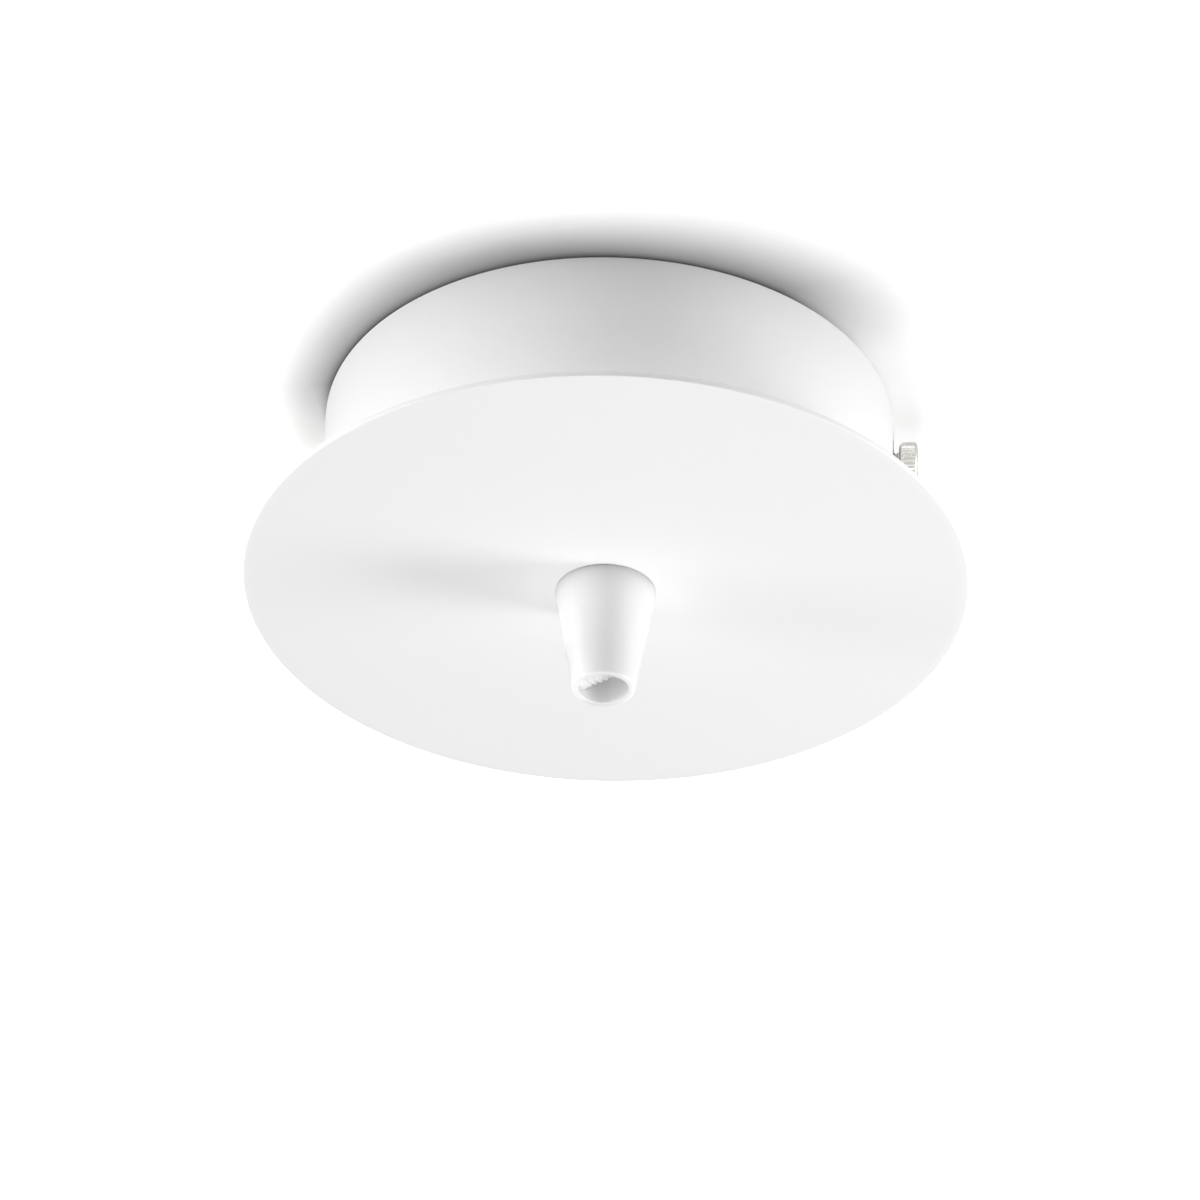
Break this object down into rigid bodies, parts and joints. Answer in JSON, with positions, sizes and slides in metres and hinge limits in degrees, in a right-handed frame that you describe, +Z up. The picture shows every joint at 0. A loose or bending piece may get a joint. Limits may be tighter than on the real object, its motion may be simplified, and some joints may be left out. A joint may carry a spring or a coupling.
{
  "type": "electrical ceiling rose",
  "caption": "Round white ceiling rose: a cup under the ceiling with a larger flat disc, a conical cord grip and knurled side screws.",
  "frame": {"origin": "centre of the bracket's slot pattern, in the plane of the ceiling", "axes": "+Z up into the ceiling along the axis of the rose, X along the bracket and through both thumb screws"},
  "size_m": [0.15, 0.15, 0.0651],
  "materials": {
    "white_powder_coat": "fine matte powder coat",
    "white_nylon": "smooth satin moulding",
    "natural_nylon": "slightly milky moulding",
    "zinc_steel": "bright zinc plate",
    "screw_steel": "zinc-plated screw steel",
    "nickel": "satin nickel plate",
    "brass": "machined brass",
    "brass_plated": "yellow passivated steel"
  },
  "bodies": {
    "rose": {"cover_disc": "white_powder_coat", "canopy_cup": "white_powder_coat", "cord_grip": "white_nylon", "grip_lock_washer": "zinc_steel", "grip_nut": "zinc_steel", "ceiling_bracket": "zinc_steel", "terminal_housing": "natural_nylon", "terminal_barrel_1": "brass", "terminal_barrel_2": "brass", "terminal_barrel_3": "brass", "housing_screw_1": "screw_steel", "housing_screw_2": "screw_steel"},
    "right_thumb_screw": {"thumb_screw_right": "nickel"},
    "left_thumb_screw": {"thumb_screw_left": "nickel"},
    "clamp_screw": {"cord_clamp_screw": "white_nylon"},
    "earth_terminal": {"earth_screw": "brass_plated", "earth_washer": "brass_plated"},
    "wire_screw_1a": {"terminal_screw_1a": "screw_steel"},
    "wire_screw_1b": {"terminal_screw_1b": "screw_steel"},
    "wire_screw_2a": {"terminal_screw_2a": "screw_steel"},
    "wire_screw_2b": {"terminal_screw_2b": "screw_steel"},
    "wire_screw_3a": {"terminal_screw_3a": "screw_steel"},
    "wire_screw_3b": {"terminal_screw_3b": "screw_steel"}
  },
  "joints": [
    {"name": "right_thumb_screw_travel", "type": "slide", "parent": "rose", "child": "right_thumb_screw", "axis": [1, 0, 0], "range_m": [-0.0009, 0.0054]},
    {"name": "left_thumb_screw_travel", "type": "slide", "parent": "rose", "child": "left_thumb_screw", "axis": [-1, 0, 0], "range_m": [-0.0009, 0.0054]},
    {"name": "clamp_screw_travel", "type": "slide", "parent": "rose", "child": "clamp_screw", "axis": [-0.9207, 0.3534, -0.1657], "range_m": [-0.001, 0.0068]},
    {"name": "earth_screw_travel", "type": "slide", "parent": "rose", "child": "earth_terminal", "axis": [0, -1, 0], "range_m": [0, 0.0025]},
    {"name": "wire_screw_1a_travel", "type": "slide", "parent": "rose", "child": "wire_screw_1a", "axis": [0, 0, 1], "range_m": [-0.0015, 0.0023]},
    {"name": "wire_screw_1b_travel", "type": "slide", "parent": "rose", "child": "wire_screw_1b", "axis": [0, 0, 1], "range_m": [-0.0015, 0.0023]},
    {"name": "wire_screw_2a_travel", "type": "slide", "parent": "rose", "child": "wire_screw_2a", "axis": [0, 0, 1], "range_m": [-0.0015, 0.0023]},
    {"name": "wire_screw_2b_travel", "type": "slide", "parent": "rose", "child": "wire_screw_2b", "axis": [0, 0, 1], "range_m": [-0.0015, 0.0023]},
    {"name": "wire_screw_3a_travel", "type": "slide", "parent": "rose", "child": "wire_screw_3a", "axis": [0, 0, 1], "range_m": [-0.0015, 0.0023]},
    {"name": "wire_screw_3b_travel", "type": "slide", "parent": "rose", "child": "wire_screw_3b", "axis": [0, 0, 1], "range_m": [-0.0015, 0.0023]}
  ]
}
